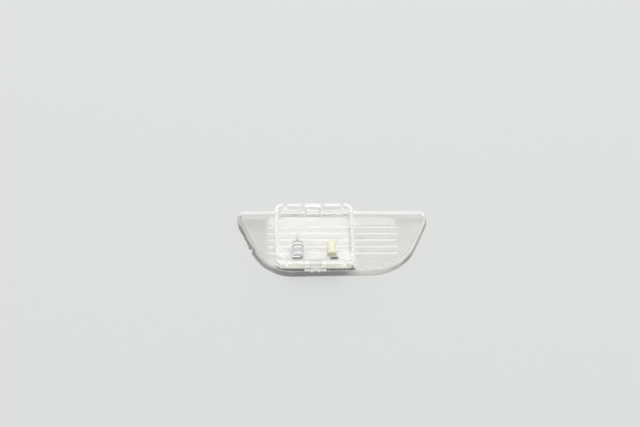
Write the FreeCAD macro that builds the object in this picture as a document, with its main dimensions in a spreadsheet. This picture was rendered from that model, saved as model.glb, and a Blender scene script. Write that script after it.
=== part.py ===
"""Interior light: a clear fluted lens tray and a snap-in housing that holds a small diode lamp.

Millimetres. The lens front face lies on Z = 0 and the back of the lamp faces +Z.
X runs along the long straight (far) edge of the lens, and +Y points towards that edge.
"""
import FreeCAD, Part
import math
import os
import Sketcher

DIMENSIONS = {
    # lens tray
    "lens_width": 84.0,
    "lens_depth": 32.95,
    "lens_height": 4.0,
    "lens_floor": 1.4,
    "rim_wall": 0.9,
    "bevel_reach": 1.3,
    "front_lip": 0.8,
    "front_edge_radius": 0.5,
    "far_corner_radius": 3.0,
    "shoulder_drop": 6.2,
    "shoulder_radius": 8.0,
    "near_left_reach": 30.0,
    "near_right_reach": 29.9,
    "near_edge_rise": 0.95,
    "near_left_radius": 19.0,
    "near_right_radius": 22.0,
    "edge_notch_drop": 12.4,
    "edge_notch_width": 2.2,
    "edge_notch_depth": 1.2,
    "edge_notch_height": 1.8,
    # flute field in the lens floor
    "flute_field_width": 56.6,
    "flute_field_margin": 0.3,
    "flute_field_radius": 2.5,
    "flute_flat_band": 4.0,
    "flute_depth": 0.6,
    "flute_crest_drop": 0.06,
    "flute_pitch": 3.4,
    "flute_gap": 0.2,
    "flute_count": 5,
    # housing
    "housing_shift": -8.3,
    "housing_width": 33.9,
    "housing_floor": 0.8,
    "housing_lift": 0.1,
    "skirt_wall": 0.8,
    "skirt_clearance": 0.2,
    "skirt_corner_radius": 5.0,
    "collar_height": 3.4,
    "collar_wall": 1.4,
    "ledge_thickness": 1.4,
    "collar_far_reach": 1.1,
    "collar_near_reach": 2.95,
    "collar_corner_radius": 3.0,
    "rim_headroom": 1.75,
    "rim_slot_spread": 24.8,
    "rim_slot_width": 1.5,
    # snap tongues in the housing walls
    "far_tongue_width": 7.1,
    "far_tongue_shift": -0.45,
    "far_slot_width": 1.4,
    "far_slot_depth": 6.0,
    "far_rib_width": 0.8,
    "far_rib_reach": 0.3,
    "far_rib_height": 5.4,
    "hook_reach": 0.5,
    "hook_height": 1.2,
    "near_tongue_width": 9.4,
    "near_slot_width": 0.5,
    "near_slot_depth": 2.4,
    "near_post_width": 1.9,
    "near_notch_depth": 1.2,
    "latch_stem_width": 3.8,
    "latch_stem_reach": 0.3,
    "latch_bar_height": 1.6,
    "latch_bar_reach": 0.4,
    "latch_bar_root": 0.8,
    "latch_tooth_pitch": 2.9,
    "latch_tooth_width": 0.7,
    "latch_tooth_height": 0.9,
    # contact blades
    "blade_offset": 0.9,
    "blade_lead_gap": 0.32,
    "blade_width": 3.2,
    "blade_thickness": 0.6,
    "blade_leg_width": 1.4,
    "blade_foot_lift": 1.0,
    "blade_tip_drop": 1.6,
    # resistor, lying along Y
    "component_spacing": 14.6,
    "resistor_diameter": 5.0,
    "resistor_waist_depth": 0.25,
    "resistor_length": 7.4,
    "resistor_end_length": 2.4,
    "resistor_end_radius": 0.7,
    "resistor_near_lead": 0.8,
    "resistor_far_lead": 4.4,
    "resistor_lead_diameter": 0.7,
    "return_lead_lift": 0.1,
    "return_lead_gap": 0.15,
    # link strip from the resistor's return lead to the diode
    "link_thickness": 0.5,
    "link_height": 1.0,
    "link_end_width": 1.4,
    "link_clearance": 0.2,
    # light-emitting diode, lying along Y
    "diode_diameter": 3.6,
    "diode_length": 7.0,
    "diode_tip_flat": 0.1,
    "diode_flange_reach": 0.25,
    "diode_flange_thickness": 0.9,
    "diode_lead_pitch": 2.54,
    "diode_lead_diameter": 0.5,
    "diode_cathode_lead": 2.4,
}

SAME_PLACE = 1e-4

doc = FreeCAD.newDocument("interior_light")
sheet = doc.addObject("Spreadsheet::Sheet", "Dims")
for row, (alias, value) in enumerate(DIMENSIONS.items(), start=1):
    sheet.set(f"A{row}", alias)
    sheet.set(f"B{row}", str(value))
    sheet.setAlias(f"B{row}", alias)
doc.recompute()

# Places that several pieces share, as expressions of the driving dimensions.
HALF_WIDTH = "(Dims.lens_width / 2)"
FAR_EDGE = "(Dims.lens_depth / 2)"
NEAR_EDGE = "(-Dims.lens_depth / 2)"
SHOULDER = f"({FAR_EDGE} - Dims.shoulder_drop)"
LENS_FLOOR = "Dims.lens_floor"
TRAY_INSET = "(Dims.bevel_reach + Dims.rim_wall)"
TRAY_FAR = f"({FAR_EDGE} - {TRAY_INSET})"
TRAY_NEAR = f"({NEAR_EDGE} + Dims.near_edge_rise + {TRAY_INSET})"

FIELD_HALF = "(Dims.flute_field_width / 2)"
FIELD_FAR = f"({TRAY_FAR} - Dims.flute_field_margin)"
FIRST_FLUTE = f"({FIELD_FAR} - Dims.flute_flat_band - Dims.flute_pitch / 2)"
FIELD_NEAR = f"({FIRST_FLUTE} - (Dims.flute_count - 0.5) * Dims.flute_pitch)"
FIELD_FLOOR = f"({LENS_FLOOR} - Dims.flute_depth)"
RIDGE_WIDTH = "(Dims.flute_pitch - Dims.flute_gap)"
RIDGE_HEIGHT = "(Dims.flute_depth - Dims.flute_crest_drop)"

MIDDLE = "Dims.housing_shift"
LEFT = f"({MIDDLE} - Dims.housing_width / 2)"
RIGHT = f"({MIDDLE} + Dims.housing_width / 2)"
SKIRT_FAR = f"({TRAY_FAR} - Dims.skirt_clearance)"
SKIRT_NEAR = f"({TRAY_NEAR} + Dims.skirt_clearance)"
INSIDE_LEFT = f"({LEFT} + Dims.collar_wall)"
INSIDE_RIGHT = f"({RIGHT} - Dims.collar_wall)"
INSIDE_FAR = f"({SKIRT_FAR} - Dims.skirt_wall)"
INSIDE_NEAR = f"({SKIRT_NEAR} + Dims.skirt_wall)"
COLLAR_FAR = f"({SKIRT_FAR} + Dims.collar_far_reach)"
COLLAR_NEAR = f"({SKIRT_NEAR} - Dims.collar_near_reach)"
SEAT_FAR = f"({COLLAR_FAR} - Dims.collar_wall)"
SEAT_NEAR = f"({COLLAR_NEAR} + Dims.collar_wall)"

HOUSING_BOTTOM = f"({LENS_FLOOR} + Dims.housing_lift)"
ROOM_FLOOR = f"({HOUSING_BOTTOM} + Dims.housing_floor)"
RETURN_HEIGHT = f"({ROOM_FLOOR} + Dims.return_lead_lift + Dims.resistor_lead_diameter / 2)"
AXIS_HEIGHT = (f"({RETURN_HEIGHT} + Dims.resistor_lead_diameter / 2 + Dims.return_lead_gap"
               " + Dims.resistor_diameter / 2)")
RIM = f"({AXIS_HEIGHT} + Dims.resistor_diameter / 2 + Dims.rim_headroom)"
COLLAR_BOTTOM = f"({RIM} - Dims.collar_height)"
LEDGE = f"({COLLAR_BOTTOM} + Dims.ledge_thickness)"

LINK_NEAR = f"({INSIDE_NEAR} + Dims.link_clearance)"
LINK_FAR = f"({LINK_NEAR} + Dims.link_thickness)"
BLADE_NEAR = f"({LINK_FAR} + Dims.link_clearance)"
BLADE_FAR = f"({BLADE_NEAR} + Dims.blade_thickness)"
BLADE_FOOT = f"({RETURN_HEIGHT} + Dims.resistor_lead_diameter / 2 + Dims.blade_foot_lift)"
BLADE_TIP = f"({RIM} - Dims.blade_tip_drop)"
RESISTOR_X = f"({MIDDLE} - Dims.component_spacing / 2)"
DIODE_X = f"({MIDDLE} + Dims.component_spacing / 2)"
ANODE_X = f"({DIODE_X} - Dims.diode_lead_pitch / 2)"
CATHODE_X = f"({DIODE_X} + Dims.diode_lead_pitch / 2)"
LEFT_BLADE = f"({RESISTOR_X} - Dims.blade_offset)"
RIGHT_BLADE = (f"({ANODE_X} + Dims.diode_lead_diameter / 2 + Dims.blade_lead_gap"
               " + Dims.blade_width / 2)")
RESISTOR_NEAR = f"({BLADE_FAR} + Dims.resistor_near_lead)"
RESISTOR_FAR = f"({RESISTOR_NEAR} + Dims.resistor_length)"
HAIRPIN_Y = f"({RESISTOR_FAR} + Dims.resistor_far_lead)"
DIODE_BASE = f"({BLADE_FAR} + Dims.diode_cathode_lead)"

# Turns that lay a standing cylinder along +Y or -Y, and a ring's half upright on the +Y side.
TO_FAR = FreeCAD.Rotation(FreeCAD.Vector(1, 0, 0), -90)
TO_NEAR = FreeCAD.Rotation(FreeCAD.Vector(1, 0, 0), 90)
UPRIGHT_RING = FreeCAD.Rotation(FreeCAD.Vector(0, 1, 0), -90)


def measure(expression):
    """Present value of an expression of the dimension sheet."""
    return float(sheet.evalExpression(expression))


def new_body(label):
    body = doc.addObject("PartDesign::Body", label)
    body.Label = label
    return body


def new_sketch(body, name, role, x="0", y="0", z="0"):
    """Sketch on one of the body's own origin planes, with its origin moved within that plane's frame."""
    plane = next(item for item in body.Origin.OriginFeatures if item.Role == role)
    sketch = body.newObject("Sketcher::SketchObject", name)
    sketch.AttachmentSupport = (plane, [""])
    sketch.MapMode = "FlatFace"
    for axis, expression in zip("xyz", (x, y, z)):
        sketch.setExpression(f"AttachmentOffset.Base.{axis}", expression)
    return sketch


def tie_point(sketch, geometry, end, x, y):
    """Hold one end of a sketch element at a place given by two expressions."""
    for kind, expression in (("DistanceX", x), ("DistanceY", y)):
        tie = Sketcher.Constraint(kind, -1, 1, geometry, end, measure(expression))
        sketch.setExpression(f"Constraints[{sketch.addConstraint(tie)}]", expression)


def closed_lines(sketch, places):
    """Ring of lines through some places, joined end to end; gives the number of the first line."""
    first = sketch.GeometryCount
    for start, end in zip(places, places[1:] + places[:1]):
        sketch.addGeometry(Part.LineSegment(start, end))
    for side in range(len(places)):
        before = first + (side - 1) % len(places)
        sketch.addConstraint(Sketcher.Constraint("Coincident", before, 2, first + side, 1))
    return first


def places_of(corners):
    """Present places of corners that are pairs of expressions."""
    return [FreeCAD.Vector(measure(x), measure(y), 0) for x, y in corners]


def polygon(sketch, corners):
    """Closed outline whose corners are pairs of expressions."""
    first = closed_lines(sketch, places_of(corners))
    for side, (x, y) in enumerate(corners):
        tie_point(sketch, first + side, 1, x, y)
    return first


def rectangle(sketch, x_low, x_high, y_low, y_high):
    polygon(sketch, [(x_low, y_low), (x_high, y_low), (x_high, y_high), (x_low, y_high)])


def rounded_rectangle(sketch, x_low, x_high, y_low, y_high, radius):
    """Rectangle with round corners: four lines with tied ends, and an arc from each to the next."""
    left, right = f"{x_low} + {radius}", f"{x_high} - {radius}"
    low, high = f"{y_low} + {radius}", f"{y_high} - {radius}"
    sides = [((left, y_low), (right, y_low)), ((x_high, low), (x_high, high)),
             ((right, y_high), (left, y_high)), ((x_low, high), (x_low, low))]
    centres = places_of([(right, low), (right, high), (left, high), (left, low)])
    lines = []
    for start, end in sides:
        line = sketch.addGeometry(Part.LineSegment(*places_of([start, end])))
        tie_point(sketch, line, 1, *start)
        tie_point(sketch, line, 2, *end)
        lines.append(line)
    for side, centre in enumerate(centres):
        following = (side + 1) % len(sides)
        start, end = places_of([sides[side][1], sides[following][0]])
        outward = ((start - centre) + (end - centre)).normalize()
        middle = centre + outward * measure(radius)
        arc = sketch.addGeometry(Part.Arc(start, middle, end))
        sketch.addConstraint(Sketcher.Constraint("Coincident", lines[side], 2, arc, 1))
        sketch.addConstraint(Sketcher.Constraint("Coincident", lines[following], 1, arc, 2))
        bend = sketch.addConstraint(Sketcher.Constraint("Radius", arc, measure(radius)))
        sketch.setExpression(f"Constraints[{bend}]", radius)


def inset_polygon(sketch, corners, inset):
    """Outline that runs inside a guide outline, parallel to it at one distance; gives its corners."""
    guide = polygon(sketch, corners)
    step = measure(inset)
    starts = []
    for side, place in enumerate(places_of(corners)):
        sketch.toggleConstruction(guide + side)
        starts.append(place - FreeCAD.Vector(math.copysign(step, place.x), math.copysign(step, place.y), 0))
    first = closed_lines(sketch, starts)
    for side in range(len(corners)):
        sketch.addConstraint(Sketcher.Constraint("Parallel", guide + side, first + side))
        gap = Sketcher.Constraint("Distance", first + side, 1, guide + side, step)
        sketch.setExpression(f"Constraints[{sketch.addConstraint(gap)}]", inset)
    doc.recompute()
    return [sketch.getPoint(first + side, 1) for side in range(len(corners))]


def pad(body, name, sketch, length):
    feature = body.newObject("PartDesign::Pad", name)
    feature.Profile = sketch
    feature.setExpression("Length", length)
    doc.recompute()
    return feature


def pocket(body, name, sketch, depth):
    """Cut down from a sketch, and make sure that material went away."""
    before = body.Shape.Volume
    feature = body.newObject("PartDesign::Pocket", name)
    feature.Profile = sketch
    feature.setExpression("Length", depth)
    doc.recompute()
    if body.Shape.Volume >= before:
        raise RuntimeError(f"{name} cuts nothing")
    return feature


def revolve(body, name, sketch):
    """Full turn of a sketch about its own horizontal axis."""
    feature = body.newObject("PartDesign::Revolution", name)
    feature.Profile = sketch
    feature.ReferenceAxis = (sketch, ["H_Axis"])
    feature.Angle = 360
    doc.recompute()
    return feature


def upright_edges(feature, places):
    """Names of the upright edges that stand at some places."""
    names = []
    for number, edge in enumerate(feature.Shape.Edges, start=1):
        box = edge.BoundBox
        if max(box.XLength, box.YLength) > SAME_PLACE:
            continue
        foot = FreeCAD.Vector(box.XMin, box.YMin, 0)
        if any(foot.distanceToPoint(place) < SAME_PLACE for place in places):
            names.append(f"Edge{number}")
    return names


def fillet(body, name, base, edges, radius):
    feature = body.newObject("PartDesign::Fillet", name)
    feature.Base = (base, edges)
    feature.setExpression("Radius", radius)
    doc.recompute()
    return feature


def round_corners(body, name, base, places, radius):
    return fillet(body, name, base, upright_edges(base, places), radius)


def corners_of(x_low, x_high, y_low, y_high):
    return places_of([(x_low, y_low), (x_high, y_low), (x_high, y_high), (x_low, y_high)])


def place_by(item, x, y, z, turn=FreeCAD.Rotation()):
    """Turn a primitive, and tie its origin to three expressions."""
    item.Placement = FreeCAD.Placement(FreeCAD.Vector(), turn)
    for axis, expression in zip("xyz", (x, y, z)):
        item.setExpression(f"Placement.Base.{axis}", expression)


def cylinder(label, diameter, length, x, y, z, turn):
    item = doc.addObject("Part::Cylinder", label)
    item.Label = label
    item.setExpression("Radius", f"{diameter} / 2")
    item.setExpression("Height", length)
    place_by(item, x, y, z, turn)
    return item


def make_lens():
    """Boat-shaped tray: bevelled sides, a straight far edge and flutes across its floor."""
    outline = [
        (HALF_WIDTH, FAR_EDGE),
        (f"-{HALF_WIDTH}", FAR_EDGE),
        (f"-{HALF_WIDTH}", SHOULDER),
        ("-Dims.near_left_reach", NEAR_EDGE),
        ("Dims.near_right_reach", f"{NEAR_EDGE} + Dims.near_edge_rise"),
        (HALF_WIDTH, SHOULDER),
    ]
    bends = [("FarCorner", "Dims.far_corner_radius", (0, 1)), ("Shoulder", "Dims.shoulder_radius", (2, 5)),
             ("NearLeft", "Dims.near_left_radius", (3,)), ("NearRight", "Dims.near_right_radius", (4,))]

    body = new_body("lens")
    sketch = new_sketch(body, "LensOutline", "XY_Plane")
    polygon(sketch, outline)
    pad(body, "LensBlock", sketch, "Dims.lens_height")
    sketch = new_sketch(body, "TrayOutline", "XY_Plane", z="Dims.lens_height")
    tray_places = inset_polygon(sketch, outline, TRAY_INSET)
    block = pocket(body, "Tray", sketch, f"Dims.lens_height - {LENS_FLOOR}")
    for name, radius, numbers in bends:
        inside = [tray_places[number] for number in numbers]
        outside = places_of([outline[number] for number in numbers])
        block = round_corners(body, f"{name}Inside", block, inside, f"{radius} - {TRAY_INSET}")
        block = round_corners(body, f"{name}Outside", block, outside, radius)

    bevel = body.newObject("PartDesign::Chamfer", "SideBevel")
    top = measure("Dims.lens_height")
    rim = max((wire for face in block.Shape.Faces if face.BoundBox.ZMin > top - SAME_PLACE
               for wire in face.Wires), key=lambda wire: wire.Length)
    bevel.Base = (block, [f"Edge{i}" for i, edge in enumerate(block.Shape.Edges, start=1)
                          if any(edge.isSame(side) for side in rim.Edges)])
    bevel.ChamferType = "Two distances"
    bevel.setExpression("Size", "Dims.bevel_reach")
    bevel.setExpression("Size2", "Dims.lens_height - Dims.front_lip")
    doc.recompute()
    foot = [f"Edge{i}" for i, edge in enumerate(bevel.Shape.Edges, start=1)
            if edge.BoundBox.ZMax < SAME_PLACE]
    fillet(body, "FrontEdge", bevel, foot, "Dims.front_edge_radius")

    cut_edge_notch(body)
    add_flutes(body)
    return body


def cut_edge_notch(body):
    """Small notch in the foot of the lens's slanting left side."""
    sketch = new_sketch(body, "EdgeNotch", "XY_Plane", z="Dims.edge_notch_height")
    slope = f"(({HALF_WIDTH} - Dims.near_left_reach) / ({SHOULDER} - {NEAR_EDGE}))"
    outside, inside = [], []
    for drop in ("Dims.edge_notch_drop", "(Dims.edge_notch_drop + Dims.edge_notch_width)"):
        edge = f"-{HALF_WIDTH} + {drop} * {slope}"
        outside.append((f"{edge} - Dims.edge_notch_depth", f"{SHOULDER} - {drop}"))
        inside.append((f"{edge} + Dims.edge_notch_depth", f"{SHOULDER} - {drop}"))
    polygon(sketch, outside + inside[::-1])
    pocket(body, "LeftEdgeNotch", sketch, "Dims.edge_notch_height")


def add_flutes(body):
    """Shallow recess in the tray floor, with a row of round ridges along X."""
    sketch = new_sketch(body, "FluteField", "XY_Plane", z=LENS_FLOOR)
    rounded_rectangle(sketch, f"-{FIELD_HALF}", FIELD_HALF, FIELD_NEAR, FIELD_FAR, "Dims.flute_field_radius")
    pocket(body, "FluteRecess", sketch, "Dims.flute_depth")

    sketch = new_sketch(body, "FluteProfile", "YZ_Plane", z=f"-{FIELD_HALF}")
    half, rise = measure(RIDGE_WIDTH) / 2, measure(RIDGE_HEIGHT)
    middle, low = measure(FIRST_FLUTE), measure(FIELD_FLOOR)
    ends = [FreeCAD.Vector(middle - half, low, 0), FreeCAD.Vector(middle + half, low, 0)]
    base = sketch.addGeometry(Part.LineSegment(*ends))
    crest = sketch.addGeometry(Part.Arc(ends[1], FreeCAD.Vector(middle, low + rise, 0), ends[0]))
    tie_point(sketch, base, 1, f"{FIRST_FLUTE} - {RIDGE_WIDTH} / 2", FIELD_FLOOR)
    tie_point(sketch, base, 2, f"{FIRST_FLUTE} + {RIDGE_WIDTH} / 2", FIELD_FLOOR)
    sketch.addConstraint(Sketcher.Constraint("Coincident", base, 2, crest, 1))
    sketch.addConstraint(Sketcher.Constraint("Coincident", base, 1, crest, 2))
    bend = f"({RIDGE_WIDTH} * {RIDGE_WIDTH} / 4 + {RIDGE_HEIGHT} * {RIDGE_HEIGHT}) / (2 * {RIDGE_HEIGHT})"
    radius = sketch.addConstraint(Sketcher.Constraint("Radius", crest, measure(bend)))
    sketch.setExpression(f"Constraints[{radius}]", bend)
    ridge = pad(body, "Flute", sketch, "Dims.flute_field_width")

    flutes = body.newObject("PartDesign::LinearPattern", "Flutes")
    flutes.Originals = [ridge]
    flutes.Direction = (next(i for i in body.Origin.OriginFeatures if i.Role == "Y_Axis"), [""])
    flutes.Reversed = True
    flutes.setExpression("Length", "Dims.flute_pitch * (Dims.flute_count - 1)")
    flutes.setExpression("Occurrences", "Dims.flute_count")
    body.Tip = flutes
    doc.recompute()


def make_housing():
    """Clear box, open at the back: a floored skirt that stands in the lens, and a wider collar above it."""
    body = new_body("housing")
    skirt = (LEFT, RIGHT, SKIRT_NEAR, SKIRT_FAR)
    sketch = new_sketch(body, "SkirtOutline", "XY_Plane", z=HOUSING_BOTTOM)
    rectangle(sketch, *skirt)
    pad(body, "Skirt", sketch, f"{COLLAR_BOTTOM} - {HOUSING_BOTTOM}")

    collar = (LEFT, RIGHT, COLLAR_NEAR, COLLAR_FAR)
    sketch = new_sketch(body, "CollarOutline", "XY_Plane", z=COLLAR_BOTTOM)
    rectangle(sketch, *collar)
    pad(body, "Collar", sketch, "Dims.collar_height")

    sketch = new_sketch(body, "SeatOutline", "XY_Plane", z=RIM)
    seat = (INSIDE_LEFT, INSIDE_RIGHT, SEAT_NEAR, SEAT_FAR)
    rectangle(sketch, *seat)
    pocket(body, "RimSeat", sketch, f"{RIM} - {LEDGE}")

    sketch = new_sketch(body, "RoomOutline", "XY_Plane", z=LEDGE)
    room = (INSIDE_LEFT, INSIDE_RIGHT, INSIDE_NEAR, INSIDE_FAR)
    rectangle(sketch, *room)
    block = pocket(body, "LampRoom", sketch, f"{LEDGE} - {ROOM_FLOOR}")
    for name, sides, radius in (
            ("RoomCorners", room, "Dims.skirt_corner_radius - Dims.collar_wall"),
            ("SeatCorners", seat, "Dims.collar_corner_radius - Dims.collar_wall"),
            ("SkirtCorners", skirt, "Dims.skirt_corner_radius"),
            ("CollarCorners", collar, "Dims.collar_corner_radius")):
        block = round_corners(body, name, block, corners_of(*sides), radius)

    sketch = new_sketch(body, "RimSlotOutlines", "XY_Plane", z=RIM)
    for shift in ("Dims.rim_slot_spread / 2", "-Dims.rim_slot_spread / 2"):
        about_middle(sketch, "Dims.rim_slot_width", COLLAR_NEAR, SEAT_NEAR, shift)
        about_middle(sketch, "Dims.rim_slot_width", SEAT_FAR, COLLAR_FAR, shift)
    pocket(body, "RimSlots", sketch, f"{RIM} - {LEDGE}")

    free_tongue(body, "Far", "Dims.far_tongue_width", "Dims.far_slot_width", "Dims.far_slot_depth",
                INSIDE_FAR, COLLAR_FAR, "Dims.far_tongue_shift")
    add_ribs(body)
    free_tongue(body, "Near", "Dims.near_tongue_width", "Dims.near_slot_width", "Dims.near_slot_depth",
                COLLAR_NEAR, SEAT_NEAR)
    add_latch(body)
    add_hook(body)
    return body


def about_middle(sketch, width, y_low, y_high, shift="0"):
    """Rectangle of some width about the housing's middle, or about a place beside it."""
    middle = f"{MIDDLE} + {shift}"
    rectangle(sketch, f"{middle} - {width} / 2", f"{middle} + {width} / 2", y_low, y_high)


def free_tongue(body, name, width, slot, depth, y_low, y_high, aside="0"):
    """Two slots down through a wall, which leave a springy tongue between them."""
    sketch = new_sketch(body, f"{name}Slots", "XY_Plane", z=RIM)
    for shift in (f"{aside} + ({width} + {slot}) / 2", f"{aside} - ({width} + {slot}) / 2"):
        about_middle(sketch, slot, y_low, y_high, shift)
    pocket(body, f"{name}TongueSlots", sketch, depth)


def add_ribs(body):
    """Upright rib at each edge of the far tongue, on its inner side and over the ledge."""
    sketch = new_sketch(body, "FarRibOutlines", "XY_Plane", z=f"{RIM} - Dims.far_rib_height")
    inset = "(Dims.far_tongue_width - Dims.far_rib_width) / 2"
    for shift in (f"Dims.far_tongue_shift + {inset}", f"Dims.far_tongue_shift - {inset}"):
        about_middle(sketch, "Dims.far_rib_width", f"{INSIDE_FAR} - Dims.far_rib_reach", SEAT_FAR, shift)
    pad(body, "FarRibs", sketch, "Dims.far_rib_height")


def add_latch(body):
    """Near tongue's latch: two posts with a notch between them, a stem, and a bar with two teeth."""
    sketch = new_sketch(body, "NearNotch", "XY_Plane", z=RIM)
    about_middle(sketch, "(Dims.near_tongue_width - 2 * Dims.near_post_width)", COLLAR_NEAR, SEAT_NEAR)
    pocket(body, "NearTongueNotch", sketch, "Dims.near_notch_depth")

    sketch = new_sketch(body, "LatchStemOutline", "XY_Plane", z=COLLAR_BOTTOM)
    about_middle(sketch, "Dims.latch_stem_width", f"{COLLAR_NEAR} - Dims.latch_stem_reach", COLLAR_NEAR)
    pad(body, "LatchStem", sketch, f"{RIM} - Dims.near_notch_depth - {COLLAR_BOTTOM}")

    latch_near = f"{COLLAR_NEAR} - Dims.latch_bar_reach"
    bar_bottom = f"{COLLAR_BOTTOM} - Dims.latch_bar_height"
    sketch = new_sketch(body, "LatchBarOutline", "XY_Plane", z=bar_bottom)
    about_middle(sketch, "Dims.near_tongue_width", latch_near, f"{COLLAR_NEAR} + Dims.latch_bar_root")
    pad(body, "LatchBar", sketch, "Dims.latch_bar_height")

    sketch = new_sketch(body, "LatchTeethOutline", "XY_Plane", z=f"{bar_bottom} - Dims.latch_tooth_height")
    for shift in ("Dims.latch_tooth_pitch / 2", "-Dims.latch_tooth_pitch / 2"):
        about_middle(sketch, "Dims.latch_tooth_width", latch_near, COLLAR_NEAR, shift)
    pad(body, "LatchTeeth", sketch, "Dims.latch_tooth_height")


def add_hook(body):
    """Wedge on the outside of the far tongue."""
    tongue_left = f"{MIDDLE} + Dims.far_tongue_shift - Dims.far_tongue_width / 2"
    sketch = new_sketch(body, "HookProfile", "YZ_Plane", z=tongue_left)
    polygon(sketch, [(COLLAR_FAR, RIM), (COLLAR_FAR, f"{RIM} - Dims.hook_height"),
                     (f"{COLLAR_FAR} + Dims.hook_reach", f"{RIM} - Dims.hook_height")])
    pad(body, "FarHook", sketch, "Dims.far_tongue_width")


def make_blade(label, middle, leg_side):
    """Flat contact blade; a narrow leg at one side stands on the housing's floor, clear of the leads."""
    body = new_body(label)
    half = "Dims.blade_width / 2"
    outer = f"{middle} {leg_side} {half}"
    inner = f"{middle} - ({leg_side}1) * {half}"
    leg = f"{outer} - ({leg_side}1) * Dims.blade_leg_width"
    sketch = new_sketch(body, f"{label}_profile", "XZ_Plane", z=f"-{BLADE_FAR}")
    polygon(sketch, [(outer, ROOM_FLOOR), (outer, BLADE_TIP), (inner, BLADE_TIP), (inner, BLADE_FOOT),
                     (leg, BLADE_FOOT), (leg, ROOM_FLOOR)])
    pad(body, f"{label}_plate", sketch, "Dims.blade_thickness")
    return body


def make_resistor_body():
    """Lacquered resistor body, thicker over its two end caps."""
    body = new_body("resistor_body")
    sketch = new_sketch(body, "ResistorProfile", "YZ_Plane", x=RESISTOR_NEAR, y=AXIS_HEIGHT, z=RESISTOR_X)
    length, end = "Dims.resistor_length", "Dims.resistor_end_length"
    radius = "Dims.resistor_diameter / 2"
    waist = f"{radius} - Dims.resistor_waist_depth"
    polygon(sketch, [("0", "0"), (length, "0"), (length, radius), (f"{length} - {end}", radius),
                     (f"{length} - {end}", waist), (end, waist), (end, radius), ("0", radius)])
    turned = revolve(body, "ResistorTurned", sketch)
    rims = [f"Edge{i}" for i, edge in enumerate(turned.Shape.Edges, start=1)
            if edge.BoundBox.YLength < SAME_PLACE
            and (edge.BoundBox.YMin < measure(RESISTOR_NEAR) + SAME_PLACE
                 or edge.BoundBox.YMax > measure(RESISTOR_FAR) - SAME_PLACE)]
    fillet(body, "ResistorEnds", turned, rims, "Dims.resistor_end_radius")
    return body


def make_resistor_far_lead():
    """Hairpin lead: out of the far end, round a half turn and back under the resistor to the link."""
    thick = "Dims.resistor_lead_diameter"
    out = cylinder("far_lead_out", thick, "Dims.resistor_far_lead",
                   RESISTOR_X, RESISTOR_FAR, AXIS_HEIGHT, TO_FAR)
    turn = doc.addObject("Part::Torus", "far_lead_turn")
    turn.setExpression("Radius1", f"({AXIS_HEIGHT} - {RETURN_HEIGHT}) / 2")
    turn.setExpression("Radius2", f"{thick} / 2")
    turn.Angle3 = 180
    place_by(turn, RESISTOR_X, HAIRPIN_Y, f"({AXIS_HEIGHT} + {RETURN_HEIGHT}) / 2", UPRIGHT_RING)
    back = cylinder("far_lead_back", thick, f"{HAIRPIN_Y} - {LINK_FAR}",
                    RESISTOR_X, HAIRPIN_Y, RETURN_HEIGHT, TO_NEAR)
    lead = doc.addObject("Part::MultiFuse", "resistor_far_lead")
    lead.Label = "resistor_far_lead"
    lead.Shapes = [out, turn, back]
    lead.Refine = True
    return lead


def make_link_strip():
    """Flat strip along the near wall, with a riser at the diode's end."""
    body = new_body("link_strip")
    half = "Dims.link_end_width / 2"
    low = f"({RETURN_HEIGHT} - Dims.resistor_lead_diameter / 2)"
    high = f"{low} + Dims.link_height"
    tip = f"{AXIS_HEIGHT} + {half}"
    sketch = new_sketch(body, "LinkProfile", "XZ_Plane", z=f"-{LINK_FAR}")
    polygon(sketch, [(f"{RESISTOR_X} - {half}", low), (f"{ANODE_X} + {half}", low),
                     (f"{ANODE_X} + {half}", tip), (f"{ANODE_X} - {half}", tip),
                     (f"{ANODE_X} - {half}", high), (f"{RESISTOR_X} - {half}", high)])
    pad(body, "LinkPlate", sketch, "Dims.link_thickness")
    return body


def make_diode_body():
    """Tinted diode body: flange at the near end, rounded tip at the far end."""
    body = new_body("diode_body")
    sketch = new_sketch(body, "DiodeProfile", "YZ_Plane", x=DIODE_BASE, y=AXIS_HEIGHT, z=DIODE_X)
    length, step = "Dims.diode_length", "Dims.diode_flange_thickness"
    radius = "Dims.diode_diameter / 2"
    flange = f"{radius} + Dims.diode_flange_reach"
    polygon(sketch, [("0", "0"), (length, "0"), (length, radius), (step, radius),
                     (step, flange), ("0", flange)])
    turned = revolve(body, "DiodeTurned", sketch)
    tip = measure(f"{DIODE_BASE} + {length}")
    edges = [f"Edge{i}" for i, edge in enumerate(turned.Shape.Edges, start=1)
             if edge.BoundBox.YMin > tip - SAME_PLACE]
    fillet(body, "DiodeDome", turned, edges, f"{radius} - Dims.diode_tip_flat")
    return body


pieces = [
    make_lens(),
    make_housing(),
    make_blade("left_contact_blade", LEFT_BLADE, "-"),
    make_blade("right_contact_blade", RIGHT_BLADE, "+"),
    make_resistor_body(),
    cylinder("resistor_near_lead", "Dims.resistor_lead_diameter", "Dims.resistor_near_lead",
             RESISTOR_X, BLADE_FAR, AXIS_HEIGHT, TO_FAR),
    make_resistor_far_lead(),
    make_link_strip(),
    make_diode_body(),
    cylinder("diode_anode_lead", "Dims.diode_lead_diameter", f"{DIODE_BASE} - {LINK_FAR}",
             ANODE_X, LINK_FAR, AXIS_HEIGHT, TO_FAR),
    cylinder("diode_cathode_lead", "Dims.diode_lead_diameter", "Dims.diode_cathode_lead",
             CATHODE_X, BLADE_FAR, AXIS_HEIGHT, TO_FAR),
]
doc.recompute()

for item in doc.Objects:
    if "Invalid" in item.State or "Error" in item.State:
        raise RuntimeError(f"{item.Name} failed")
for piece in pieces:
    if piece.Shape.isNull() or not piece.Shape.isValid():
        raise RuntimeError(f"{piece.Label} has no valid shape")

os.makedirs("parts", exist_ok=True)
for piece in pieces:
    piece.Shape.exportStep(f"parts/{piece.Label}.step")
    print(piece.Label, len(piece.Shape.Solids), round(piece.Shape.Volume, 2), piece.Shape.BoundBox)
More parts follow.
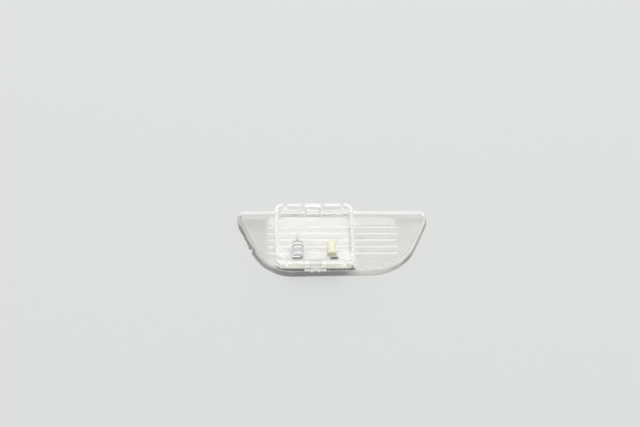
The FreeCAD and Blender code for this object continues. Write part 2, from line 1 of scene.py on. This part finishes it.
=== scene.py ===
"""Looks of the interior light: clear plastics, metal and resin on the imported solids.

It lies on a pale table in soft light. Metres, in the frame of the solids: the lens lies on Z = 0,
and +Y points to its straight far edge.
"""
import math

import bpy
from mathutils import Matrix, Vector


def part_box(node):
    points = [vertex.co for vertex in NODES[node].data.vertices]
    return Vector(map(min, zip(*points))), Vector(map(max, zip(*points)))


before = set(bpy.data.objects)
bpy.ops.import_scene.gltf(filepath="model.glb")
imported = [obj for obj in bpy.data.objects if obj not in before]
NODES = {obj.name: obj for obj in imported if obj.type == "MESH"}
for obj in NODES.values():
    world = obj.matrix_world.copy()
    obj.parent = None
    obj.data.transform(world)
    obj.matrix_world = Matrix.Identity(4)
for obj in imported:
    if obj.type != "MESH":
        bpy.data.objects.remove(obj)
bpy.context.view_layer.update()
HOUSING_LOW, HOUSING_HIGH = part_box("housing")
HOUSING_MIDDLE = (HOUSING_LOW + HOUSING_HIGH) / 2
LENS_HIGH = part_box("lens")[1]
MM = 0.001


def mm(*values):
    """Millimetres in metres."""
    return tuple(value * MM for value in values)


# Camera, from the photograph's perspective
IMAGE_WIDTH = 640
FOCAL_PIXELS = 1200.0
SENSOR_WIDTH = 36.0
CAMERA_TARGET = Vector((-5.02, 16.905, 0.0)) * MM
CAMERA_DISTANCE = 532.9 * MM
CAMERA_AZIMUTH = math.radians(-5.62)
CAMERA_ELEVATION = math.radians(55.0)
CAMERA_ROLL = math.radians(4.57)

# Table
FLOOR_SIZE = 6.0
FLOOR_GAP = 0.06 * MM
FLOOR_COLOUR = (0.715, 0.730, 0.720)

# Room light, with a window and a dark card on the way that the housing's floor mirrors to the camera
FRONT_SKY = 0.72
BACK_SKY = 1.09
WINDOW_WAY = Vector((0.0512, 0.5540, 0.8309)).normalized()
WINDOW_ACROSS = Vector((0.9984, -0.0327, -0.0457)).normalized()
WINDOW_UP = Vector((0.0007, 0.8204, -0.5718)).normalized()
WINDOW_HALF = (0.0335, 0.0215)
WINDOW_LEVEL = 1.65
CARD_SHIFT = -0.053
CARD_HALF = (0.014, 0.0300)
CARD_SHADE = 0.75
PATCH_SOFT = 0.005
PATCH_SIDE = (0.5, 0.7)

# Lamps
LAMP_PLACE = Vector((0.05, 0.80, 0.62))
LAMP_LENGTH = 1.0
LAMP_BREADTH = 0.42
LAMP_POWER = 1.63
CEILING_PLACE = Vector((0.10, 0.15, 1.60))
CEILING_SIZE = 1.6
CEILING_POWER = 1.27

# Colours between which each material varies, and the stops of that change
COLOUR_STOPS = (0.3, 0.7)
LENS_COLOURS = ((0.905, 0.896, 0.868), (0.94, 0.931, 0.908))
HOUSING_COLOURS = ((0.95, 0.95, 0.93), (0.98, 0.98, 0.965))
PLATED_COLOURS = ((0.74, 0.73, 0.71), (0.84, 0.83, 0.81))
TARNISHED_COLOURS = ((0.42, 0.40, 0.36), (0.56, 0.53, 0.48))
WIRE_COLOURS = ((0.62, 0.62, 0.61), (0.78, 0.78, 0.77))
LACQUER_COLOURS = ((0.86, 0.855, 0.85), (0.93, 0.925, 0.92))
RESIN_COLOURS = ((0.945, 0.995, 0.66), (0.975, 1.0, 0.78))

# Fineness of each material's noise, and its grain along the axes
FLOW_SCALE = 90.0
FLOW_STRETCH = (1.0, 0.4, 0.6)
RIPPLE_SCALE = 260.0
RIPPLE_DETAIL = 2.0
METAL_SCALE = 900.0
UPRIGHT_GRAIN = (1.0, 1.0, 0.1)
LENGTHWISE_GRAIN = (1.0, 0.1, 1.0)
LACQUER_SCALE = 700.0
RESIN_SCALE = 400.0

# Roughness range of each material
PLASTIC_ROUGHNESS = (0.01, 0.05)
BLADE_ROUGHNESS = (0.35, 0.5)
WIRE_ROUGHNESS = (0.2, 0.35)
LACQUER_ROUGHNESS = (0.35, 0.5)
RESIN_ROUGHNESS = (0.15, 0.3)

# Dark rings round the resistor: place along Y, half width and depth of colour
RESISTOR_RINGS = ((-3.2 * MM, 0.25 * MM, 0.8), (-4.85 * MM, 0.25 * MM, 0.45),
                  (-7.4 * MM, 1.1 * MM, 0.35), (-9.8 * MM, 0.3 * MM, 0.3))
RING_SOFT = 0.15 * MM
RING_COLOUR = (0.09, 0.085, 0.09, 1.0)

# What one face of clear plastic lets through of lamp light, and of light on its way to a matt face
SHADOW_TINT = (0.997, 0.997, 0.995, 1.0)

# How far light wanders under a frosted face
FROST_DEPTH = 1.5 * MM

# Each ramp below is a pair: a share is 0 at the first value and 1 at the second, which may be the lower.
# Facing ramps, of a normal's part along one axis
LEVEL = (0.85, 0.97)
UPRIGHT = (0.9, 0.97)
SLOPING = (0.85, 0.7)
BEVEL_STEEPEST = (0.15, 0.25)
BEVEL_FLATTEST = (0.65, 0.5)
CREST_NEAR_SIDE = (-0.14, -0.06)
CREST_FAR_SIDE = (0.36, 0.28)
FACING_NEAR = (0.6, 0.9)
RIB_FRONT = (-0.6, -0.9)

# Frosted shares of the lens
LENS_HAZE = 0.02
NEAR_BEVEL_FROSTING = 0.19
LEFT_BEVEL_FROSTING = 0.30
RIGHT_BEVEL_FROSTING = 0.66
FAR_RIM_FROSTING = 0.85
FAR_WALL_FROSTING = 0.95
HIDDEN_WALL_FROSTING = 0.2
FAR_STEP_FROSTING = 0.9
FLAT_CELL_FROSTING = 0.35
# Frosting on the flutes' crests is a painted highlight: it draws a bright line on each crest
CREST_HIGHLIGHT_FROSTING = 0.4

# Ramps of place for the frosted parts of the lens
LENS_FAR_Y = (LENS_HIGH.y - 5 * MM, LENS_HIGH.y - 3 * MM)
LENS_TOP_Z = (LENS_HIGH.z - 0.2 * MM, LENS_HIGH.z - 0.05 * MM)
LEFT_BEVEL_X = (HOUSING_LOW.x + 2 * MM, HOUSING_LOW.x - 4 * MM)
RIGHT_BEVEL_X = (HOUSING_HIGH.x - 6 * MM, HOUSING_HIGH.x + 4 * MM)
BEHIND_LEFT_X = (HOUSING_LOW.x, HOUSING_LOW.x + 1 * MM)
BEHIND_RIGHT_X = (HOUSING_HIGH.x, HOUSING_HIGH.x - 1 * MM)
FAR_WALL_Z = mm(1.9, 2.5)
FAR_STEP_Z = mm(1.5, 1.42)
CELL_Y = mm(10.0, 10.4)
CELL_BOTTOM_Z = mm(0.5, 0.7)
CELL_TOP_Z = mm(1.1, 0.9)
CREST_BOTTOM_Z = mm(1.0, 1.1)
CREST_TOP_Z = mm(1.385, 1.355)

# Painted shade: grey on the lens along its left and right edges and in the corners of its floor
PAINTED_EDGE_SHADE = (0.36, 0.355, 0.335, 1.0)
LEFT_EDGE_SHADE_SHARE = 0.4
RIGHT_EDGE_SHADE_SHARE = 0.9
CORNER_SHADE_SHARE = 0.2
BESIDE_Y = mm(14.0, 12.5)
LEFT_EDGE_X = mm(-27, -31)
LEFT_EDGE_Z = mm(1.45, 1.6)
RIGHT_EDGE_X = mm(18, 36)
RIGHT_EDGE_Z = mm(2.9, 2.2)
LEFT_CORNER_X = mm(-26, -31)
LEFT_CORNER_Y = mm(2, 13)
RIGHT_CORNER_X = mm(26, 31)
RIGHT_CORNER_Y = mm(8.5, 13)

# Painted shade: dark colour on the lens's near rim, which lies in the dark under the collar
SHADE_COLOUR = (0.12, 0.12, 0.11, 1.0)
SHADE_LEFT_X = (HOUSING_LOW.x - 1 * MM, HOUSING_LOW.x + 1.5 * MM)
SHADE_RIGHT_X = (HOUSING_HIGH.x + 1.5 * MM, HOUSING_HIGH.x - 1 * MM)
SHADE_Y = mm(-12, -13)
SHADE_Z = mm(3.0, 3.3)

# Frosted shares of the housing
HOUSING_HAZE = 0.02
SIDE_RIM_FROSTING = 0.12
# Frosting on the rim's far and near runs is a painted highlight: it stands in for the glint on their edges
FAR_RIM_HIGHLIGHT_FROSTING = 0.9
NEAR_RIM_HIGHLIGHT_FROSTING = 0.6
NEAR_FACE_FROSTING = 0.85
NEAR_LEDGE_FROSTING = 0.4
SIDE_WALL_FROSTING = 0.1
SLOT_FROSTING = 0.8
RIB_FROSTING = 0.9
FAR_UNDERSIDE_FROSTING = 0.8
HOUSING_FLOOR_FROSTING = 0.05
FAR_FLOOR_FROSTING = 0.4
NEAR_FLOOR_FROSTING = 0.65

# Ramps of place for the frosted parts of the housing; its ends, slots and ribs are measured from a middle
HOUSING_TOP_Z = (HOUSING_HIGH.z - 0.3 * MM, HOUSING_HIGH.z - 0.1 * MM)
FAR_END_Y = mm(10, 14)
NEAR_END_Y = mm(-10, -14)
LEDGE_BOTTOM_Z = mm(7.7, 7.9)
LEDGE_TOP_Z = mm(8.3, 8.1)
NEAR_FACE_Y = mm(-15.4, -15.8)
SLOT_X = mm(6, 5)
FAR_TONGUE_MIDDLE = HOUSING_MIDDLE.x - 0.45 * MM
RIB_INNER_X = mm(2.65, 2.75)
RIB_OUTER_X = mm(3.7, 3.6)
RIB_FRONT_Y = mm(12.9, 12.95)
RIB_BACK_Y = mm(13.15, 13.05)
UNDERSIDE_BOTTOM_Z = mm(6.3, 6.5)
UNDERSIDE_TOP_Z = mm(6.9, 6.7)
FAR_FLOOR_Y = mm(7, 9)
NEAR_FLOOR_Y = mm(-3, -7)
FLOOR_TOP_Z = mm(2.6, 2.4)

# Painted shade: a warm, darker colour on the housing's near face
NEAR_FACE_PAINTED_SHADE = (0.86, 0.845, 0.77, 1.0)
SHADED_FACE_Y = mm(-14.5, -15.0)
SHADED_FACE_Z = mm(6.4, 6.7)


class Nodes:
    """Node tree of one material or world, emptied, with short ways to add to it."""

    def __init__(self, tree):
        self.tree = tree
        tree.nodes.clear()

    def add(self, kind, inputs=None, operation=None):
        """New node, with inputs set to values or linked to sockets."""
        node = self.tree.nodes.new("ShaderNode" + kind)
        if operation:
            node.operation = operation
        for name, value in (inputs or {}).items():
            if isinstance(value, bpy.types.NodeSocket):
                self.tree.links.new(value, node.inputs[name])
            else:
                node.inputs[name].default_value = value
        return node

    def noise(self, scale, detail=4.0, stretch=(1.0, 1.0, 1.0)):
        """Noise in the object's own coordinates, with its grain stretched along the axes."""
        place = self.add("TexCoord").outputs["Object"]
        grain = self.add("Mapping", {"Vector": place, "Scale": stretch}).outputs["Vector"]
        return self.add("TexNoise", {"Vector": grain, "Scale": scale, "Detail": detail}).outputs["Fac"]

    def ramp(self, factor, colours):
        """Colour that goes from the first of two to the second with a factor."""
        node = self.add("ValToRGB", {"Fac": factor})
        for stop, place, colour in zip(node.color_ramp.elements, COLOUR_STOPS, colours):
            stop.position = place
            stop.color = (*colour, 1.0)
        return node.outputs["Color"]

    def spread(self, factor, low, high):
        """Number that goes from low to high as a factor goes from 0 to 1."""
        return self.add("MapRange", {"Value": factor, "To Min": low, "To Max": high}).outputs["Result"]

    def rise(self, value, ramp):
        """Smooth step from 0 to 1 as a value goes from the first of a pair to the second."""
        start, end = ramp
        node = self.add("MapRange", {"Value": value, "From Min": start, "From Max": end})
        node.interpolation_type = "SMOOTHSTEP"
        return node.outputs["Result"]

    def within(self, value, lower, upper):
        """Share of a value between a ramp that rises and a higher one that falls."""
        return self.math("MULTIPLY", self.rise(value, lower), self.rise(value, upper))

    def bump(self, height, strength, distance):
        node = self.add("Bump", {"Height": height, "Strength": strength, "Distance": distance})
        return node.outputs["Normal"]

    def axes(self, source):
        """The three components of one output of the object's coordinates."""
        vector = self.add("TexCoord").outputs[source]
        return self.add("SeparateXYZ", {"Vector": vector}).outputs

    def math(self, operation, *values):
        """A chain of one operation over several values."""
        result = values[0]
        for value in values[1:]:
            result = self.add("Math", {0: result, 1: value}, operation).outputs["Value"]
        return result

    def mix(self, share, low, high):
        """Colour between two others."""
        return self.add("MixRGB", {"Fac": share, "Color1": low, "Color2": high}).outputs["Color"]

    def size(self, value):
        return self.add("Math", {0: value}, "ABSOLUTE").outputs["Value"]


def material(name):
    """New node material, and its nodes."""
    made = bpy.data.materials.new(name)
    made.use_nodes = True
    return made, Nodes(made.node_tree)


def finish(nodes, surface):
    nodes.add("OutputMaterial", {"Surface": surface})


def lens_frosting(nodes):
    """Frosted share of the lens: its bevels, far rim and wall, the flat cell, and the flutes' crests,
    frosted as a painted highlight.
    """
    place = nodes.axes("Object")
    facing = nodes.axes("Normal")
    up = nodes.size(facing["Z"])
    level = nodes.rise(up, LEVEL)
    far = nodes.rise(place["Y"], LENS_FAR_Y)

    left = nodes.math("MULTIPLY", nodes.rise(place["X"], LEFT_BEVEL_X),
                      LEFT_BEVEL_FROSTING - NEAR_BEVEL_FROSTING)
    right = nodes.math("MULTIPLY", nodes.rise(place["X"], RIGHT_BEVEL_X),
                       RIGHT_BEVEL_FROSTING - NEAR_BEVEL_FROSTING)
    share = nodes.math("ADD", left, right, NEAR_BEVEL_FROSTING)
    outside = nodes.math("SUBTRACT", 1.0, nodes.add("NewGeometry").outputs["Backfacing"])
    sides = nodes.math("MULTIPLY", nodes.within(up, BEVEL_STEEPEST, BEVEL_FLATTEST), share,
                       nodes.math("MAXIMUM", outside, far))

    rim = nodes.math("MULTIPLY", level, nodes.rise(place["Z"], LENS_TOP_Z), far, FAR_RIM_FROSTING)
    upright = nodes.math("MULTIPLY", nodes.rise(nodes.size(facing["Y"]), UPRIGHT), far)
    behind = nodes.within(place["X"], BEHIND_LEFT_X, BEHIND_RIGHT_X)
    wall = nodes.math("MULTIPLY", upright, nodes.rise(place["Z"], FAR_WALL_Z),
                      nodes.spread(behind, FAR_WALL_FROSTING, HIDDEN_WALL_FROSTING))
    step = nodes.math("MULTIPLY", upright, nodes.rise(place["Z"], FAR_STEP_Z), FAR_STEP_FROSTING)
    cell = nodes.math("MULTIPLY", level, nodes.rise(place["Y"], CELL_Y),
                      nodes.within(place["Z"], CELL_BOTTOM_Z, CELL_TOP_Z), FLAT_CELL_FROSTING)
    # Painted highlight: frosting along the flutes' crests draws a bright line on each
    crest_highlight = nodes.math("MULTIPLY", nodes.within(facing["Y"], CREST_NEAR_SIDE, CREST_FAR_SIDE),
                       nodes.within(place["Z"], CREST_BOTTOM_Z, CREST_TOP_Z), CREST_HIGHLIGHT_FROSTING)
    return nodes.math("ADD", sides, rim, wall, step, cell, crest_highlight, LENS_HAZE)


def lens_painted_shade(nodes, colour):
    """Colour of the lens, with painted shade: dark on its near rim, under the collar, and grey at its left
    and right.
    """
    place = nodes.axes("Object")
    sloping = nodes.rise(nodes.size(nodes.axes("Normal")["Z"]), SLOPING)
    beside = nodes.rise(place["Y"], BESIDE_Y)
    # Painted shade: grey along the right and left edges and in the corners of the floor
    right = nodes.math("MULTIPLY", nodes.rise(place["X"], RIGHT_EDGE_X), sloping, beside,
                       nodes.rise(place["Z"], RIGHT_EDGE_Z), RIGHT_EDGE_SHADE_SHARE)
    left = nodes.math("MULTIPLY", nodes.rise(place["X"], LEFT_EDGE_X), beside,
                      nodes.rise(place["Z"], LEFT_EDGE_Z), LEFT_EDGE_SHADE_SHARE)
    left_corner_shade = nodes.math("MULTIPLY", nodes.rise(place["X"], LEFT_CORNER_X),
                             nodes.rise(place["Y"], LEFT_CORNER_Y), beside, CORNER_SHADE_SHARE)
    right_corner_shade = nodes.math("MULTIPLY", nodes.rise(place["X"], RIGHT_CORNER_X),
                              nodes.rise(place["Y"], RIGHT_CORNER_Y), beside, CORNER_SHADE_SHARE)
    edge_shaded = nodes.mix(nodes.math("ADD", right, left, left_corner_shade, right_corner_shade), colour, PAINTED_EDGE_SHADE)
    # Painted shade: dark colour on the near rim and the top of the bevel under the collar
    under = nodes.math("MULTIPLY", nodes.rise(place["Y"], SHADE_Y), nodes.rise(place["Z"], SHADE_Z),
                       nodes.within(place["X"], SHADE_LEFT_X, SHADE_RIGHT_X))
    return nodes.mix(under, edge_shaded, SHADE_COLOUR)


def housing_frosting(nodes):
    """Frosted share of the housing: rim, frosted at its far and near runs as a painted highlight, near
    ledge and face, side walls, far tongue, underside, floor.
    """
    place = nodes.axes("Object")
    facing = nodes.axes("Normal")
    level = nodes.rise(nodes.size(facing["Z"]), LEVEL)
    sideways = nodes.rise(nodes.size(facing["X"]), UPRIGHT)
    toward_far = nodes.math("SUBTRACT", place["Y"], HOUSING_MIDDLE.y)
    far_end = nodes.rise(toward_far, FAR_END_Y)
    near_end = nodes.rise(toward_far, NEAR_END_Y)

    # Painted highlight: the far and near runs of the rim's top are frosted white, the sides hardly
    share = nodes.math("ADD", nodes.math("MULTIPLY", far_end, FAR_RIM_HIGHLIGHT_FROSTING - SIDE_RIM_FROSTING),
                       nodes.math("MULTIPLY", near_end, NEAR_RIM_HIGHLIGHT_FROSTING - SIDE_RIM_FROSTING),
                       SIDE_RIM_FROSTING)
    rim = nodes.math("MULTIPLY", level, nodes.rise(place["Z"], HOUSING_TOP_Z), share)
    ledge = nodes.math("MULTIPLY", level, near_end,
                       nodes.within(place["Z"], LEDGE_BOTTOM_Z, LEDGE_TOP_Z), NEAR_LEDGE_FROSTING)
    near = nodes.math("MULTIPLY", nodes.rise(place["Y"], NEAR_FACE_Y),
                      nodes.rise(nodes.size(facing["Y"]), FACING_NEAR), NEAR_FACE_FROSTING)
    walls = nodes.math("MULTIPLY", sideways, SIDE_WALL_FROSTING)

    aside = nodes.size(nodes.math("SUBTRACT", place["X"], HOUSING_MIDDLE.x))
    slots = nodes.math("MULTIPLY", sideways, far_end, nodes.rise(aside, SLOT_X), SLOT_FROSTING)
    from_tongue = nodes.size(nodes.math("SUBTRACT", place["X"], FAR_TONGUE_MIDDLE))
    ribs = nodes.math("MULTIPLY", nodes.within(from_tongue, RIB_INNER_X, RIB_OUTER_X),
                      nodes.rise(facing["Y"], RIB_FRONT),
                      nodes.within(place["Y"], RIB_FRONT_Y, RIB_BACK_Y), RIB_FROSTING)
    underside = nodes.math("MULTIPLY", level, far_end,
                           nodes.within(place["Z"], UNDERSIDE_BOTTOM_Z, UNDERSIDE_TOP_Z),
                           FAR_UNDERSIDE_FROSTING)

    far_milk = nodes.math("MULTIPLY", nodes.rise(place["Y"], FAR_FLOOR_Y), FAR_FLOOR_FROSTING)
    near_milk = nodes.math("MULTIPLY", nodes.rise(place["Y"], NEAR_FLOOR_Y), NEAR_FLOOR_FROSTING)
    milky = nodes.math("ADD", far_milk, near_milk, HOUSING_FLOOR_FROSTING)
    floor = nodes.math("MULTIPLY", level, nodes.rise(place["Z"], FLOOR_TOP_Z), milky)
    return nodes.math("ADD", rim, ledge, near, walls, slots, ribs, underside, floor, HOUSING_HAZE)


def housing_painted_shade(nodes, colour):
    """Colour of the housing, with painted shade: warmer and darker on its near face."""
    place = nodes.axes("Object")
    # Painted shade: a warm, darker colour on the near face
    share = nodes.math("MULTIPLY", nodes.rise(place["Y"], SHADED_FACE_Y),
                       nodes.rise(nodes.size(nodes.axes("Normal")["Y"]), FACING_NEAR),
                       nodes.rise(place["Z"], SHADED_FACE_Z))
    return nodes.mix(share, colour, NEAR_FACE_PAINTED_SHADE)


def clear_plastic(name, colours, frosting, tint):
    """Clear moulded plastic: tint and polish vary with the melt's flow, painted shade comes from the tint
    function, and lamps shine through.
    """
    made, nodes = material(name)
    flow = nodes.noise(FLOW_SCALE, stretch=FLOW_STRETCH)
    ripple = nodes.noise(RIPPLE_SCALE, detail=RIPPLE_DETAIL)
    clear = nodes.math("SUBTRACT", 1.0, frosting(nodes))
    # The tint function paints shade into the base colour: on the lens's near rim and edges, on the
    # housing's near face
    shader = nodes.add("BsdfPrincipled", {
        "IOR": 1.49, "Transmission Weight": clear,
        "Subsurface Weight": 1.0, "Subsurface Radius": (1.0, 1.0, 1.0), "Subsurface Scale": FROST_DEPTH,
        "Base Color": tint(nodes, nodes.ramp(flow, colours)),
        "Roughness": nodes.spread(flow, *PLASTIC_ROUGHNESS),
        "Normal": nodes.bump(ripple, strength=0.05, distance=0.05 * MM)})
    through = nodes.add("BsdfTransparent", {"Color": SHADOW_TINT}).outputs["BSDF"]
    path = nodes.add("LightPath").outputs
    surface = shader.outputs["BSDF"]
    for ray in ("Is Shadow Ray", "Is Diffuse Ray"):
        surface = nodes.add("MixShader", {"Fac": path[ray], 1: surface, 2: through}).outputs["Shader"]
    finish(nodes, surface)
    return made


def metal(name, colours, roughness, stretch):
    """Drawn or rolled metal with its grain along one axis."""
    made, nodes = material(name)
    grain = nodes.noise(METAL_SCALE, stretch=stretch)
    shader = nodes.add("BsdfPrincipled", {
        "Metallic": 1.0,
        "Base Color": nodes.ramp(grain, colours),
        "Roughness": nodes.spread(grain, *roughness),
        "Normal": nodes.bump(grain, strength=0.15, distance=0.02 * MM)})
    finish(nodes, shader.outputs["BSDF"])
    return made


def resistor_lacquer():
    """Off-white satin lacquer with dark rings."""
    made, nodes = material("resistor_lacquer")
    grain = nodes.noise(LACQUER_SCALE)
    along = nodes.axes("Object")["Y"]
    rings = []
    for middle, half, share in RESISTOR_RINGS:
        away = nodes.size(nodes.math("SUBTRACT", along, middle))
        ring = nodes.rise(away, (half + RING_SOFT, half))
        rings.append(nodes.math("MULTIPLY", ring, share))
    dark = nodes.math("MAXIMUM", *rings)
    shader = nodes.add("BsdfPrincipled", {
        "Subsurface Weight": 0.8, "Subsurface Radius": (1.0, 1.0, 1.0), "Subsurface Scale": FROST_DEPTH,
        "Base Color": nodes.mix(dark, nodes.ramp(grain, LACQUER_COLOURS), RING_COLOUR),
        "Roughness": nodes.spread(grain, *LACQUER_ROUGHNESS),
        "Normal": nodes.bump(grain, strength=0.1, distance=0.05 * MM)})
    finish(nodes, shader.outputs["BSDF"])
    return made


def diode_resin():
    """Pale yellow cast resin, cloudy."""
    made, nodes = material("diode_resin")
    cloud = nodes.noise(RESIN_SCALE)
    shader = nodes.add("BsdfPrincipled", {
        "Transmission Weight": 0.06, "IOR": 1.5,
        "Subsurface Weight": 1.0, "Subsurface Radius": (1.0, 1.0, 0.8), "Subsurface Scale": FROST_DEPTH,
        "Base Color": nodes.ramp(cloud, RESIN_COLOURS),
        "Roughness": nodes.spread(cloud, *RESIN_ROUGHNESS)})
    finish(nodes, shader.outputs["BSDF"])
    return made


def dress():
    """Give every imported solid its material."""
    wire = metal("tinned_wire", WIRE_COLOURS, WIRE_ROUGHNESS, LENGTHWISE_GRAIN)
    looks = {
        "lens": clear_plastic("clear_lens", LENS_COLOURS, lens_frosting, lens_painted_shade),
        "housing": clear_plastic("clear_housing", HOUSING_COLOURS, housing_frosting, housing_painted_shade),
        "left_contact_blade": metal("left_contact_metal", PLATED_COLOURS, BLADE_ROUGHNESS, UPRIGHT_GRAIN),
        "right_contact_blade": metal("right_contact_metal", TARNISHED_COLOURS, BLADE_ROUGHNESS,
                                     UPRIGHT_GRAIN),
        "resistor_body": resistor_lacquer(),
        "resistor_near_lead": wire,
        "resistor_far_lead": wire,
        "link_strip": wire,
        "diode_body": diode_resin(),
        "diode_anode_lead": wire,
        "diode_cathode_lead": wire,
    }
    for name, look in looks.items():
        mesh = NODES[name].data
        mesh.materials.clear()
        mesh.materials.append(look)


def make_floor():
    """Pale matt table just under the lens."""
    half = FLOOR_SIZE / 2
    mesh = bpy.data.meshes.new("table")
    corners = [(-half, -half, -FLOOR_GAP), (half, -half, -FLOOR_GAP),
               (half, half, -FLOOR_GAP), (-half, half, -FLOOR_GAP)]
    mesh.from_pydata(corners, [], [(0, 1, 2, 3)])
    table = bpy.data.objects.new("table", mesh)
    bpy.context.scene.collection.objects.link(table)
    made, nodes = material("table_laminate")
    shader = nodes.add("BsdfPrincipled", {"Base Color": (*FLOOR_COLOUR, 1.0), "Roughness": 0.8,
                                          "Specular IOR Level": 0.0})
    finish(nodes, shader.outputs["BSDF"])
    mesh.materials.append(made)


def soft_box(name, place, length, breadth, power):
    """Rectangular lamp that looks at the part."""
    lamp = bpy.data.lights.new(name, "AREA")
    lamp.shape = "RECTANGLE"
    lamp.size = length
    lamp.size_y = breadth
    lamp.energy = power
    item = bpy.data.objects.new(name, lamp)
    item.location = place
    item.rotation_mode = "QUATERNION"
    item.rotation_quaternion = (-place).to_track_quat("-Z", "Y")
    bpy.context.scene.collection.objects.link(item)


def sky_patch(nodes, way, shift, halves):
    """Soft-edged patch of the sky, shifted sideways from the window's way."""
    inside = []
    for axis, middle, half in zip((WINDOW_ACROSS, WINDOW_UP), (shift, 0.0), halves):
        along = nodes.add("VectorMath", {0: way, 1: axis}, "DOT_PRODUCT").outputs["Value"]
        away = nodes.size(nodes.math("SUBTRACT", along, WINDOW_WAY.dot(axis) + middle))
        inside.append(nodes.rise(away, (half + PATCH_SOFT, half)))
    toward = nodes.add("VectorMath", {0: way, 1: WINDOW_WAY}, "DOT_PRODUCT").outputs["Value"]
    return nodes.math("MULTIPLY", *inside, nodes.rise(toward, PATCH_SIDE))


def make_light():
    """Soft room, brighter behind, with a small window and a dark card there, and two soft lamps."""
    world = bpy.data.worlds.new("soft_room")
    bpy.context.scene.world = world
    world.use_nodes = True
    nodes = Nodes(world.node_tree)
    way = nodes.add("TexCoord").outputs["Generated"]
    backward = nodes.add("SeparateXYZ", {"Vector": way}).outputs["Y"]
    level = nodes.add("MapRange", {"Value": backward, "From Min": -1.0, "From Max": 1.0,
                                   "To Min": FRONT_SKY, "To Max": BACK_SKY}).outputs["Result"]
    window = sky_patch(nodes, way, 0.0, WINDOW_HALF)
    card = sky_patch(nodes, way, CARD_SHIFT, CARD_HALF)
    shaded = nodes.math("MULTIPLY", level, nodes.spread(card, 1.0, 1.0 - CARD_SHADE))
    strength = nodes.math("ADD", shaded, nodes.math("MULTIPLY", window, WINDOW_LEVEL))
    background = nodes.add("Background", {"Color": (1.0, 1.0, 1.0, 1.0), "Strength": strength})
    nodes.add("OutputWorld", {"Surface": background.outputs["Background"]})

    soft_box("low_lamp", LAMP_PLACE, LAMP_LENGTH, LAMP_BREADTH, LAMP_POWER)
    soft_box("ceiling_lamp", CEILING_PLACE, CEILING_SIZE, CEILING_SIZE, CEILING_POWER)


def make_camera():
    """Camera at the photograph's angle, rolled so that the far edge of the lens runs level."""
    level = math.cos(CAMERA_ELEVATION)
    back = Vector((math.sin(CAMERA_AZIMUTH) * level, -math.cos(CAMERA_AZIMUTH) * level,
                   math.sin(CAMERA_ELEVATION)))
    right = (-back).cross(Vector((0.0, 0.0, 1.0))).normalized()
    up = right.cross(-back)
    rolled_right = right * math.cos(CAMERA_ROLL) + up * math.sin(CAMERA_ROLL)
    rolled_up = up * math.cos(CAMERA_ROLL) - right * math.sin(CAMERA_ROLL)
    data = bpy.data.cameras.new("camera")
    data.sensor_width = SENSOR_WIDTH
    data.lens = FOCAL_PIXELS / IMAGE_WIDTH * SENSOR_WIDTH
    camera = bpy.data.objects.new("camera", data)
    turn = Matrix((rolled_right, rolled_up, back)).transposed()
    camera.matrix_world = Matrix.Translation(CAMERA_TARGET + back * CAMERA_DISTANCE) @ turn.to_4x4()
    bpy.context.scene.collection.objects.link(camera)
    bpy.context.scene.camera = camera


dress()
make_floor()
make_light()
make_camera()
bpy.context.scene.view_settings.view_transform = "Standard"
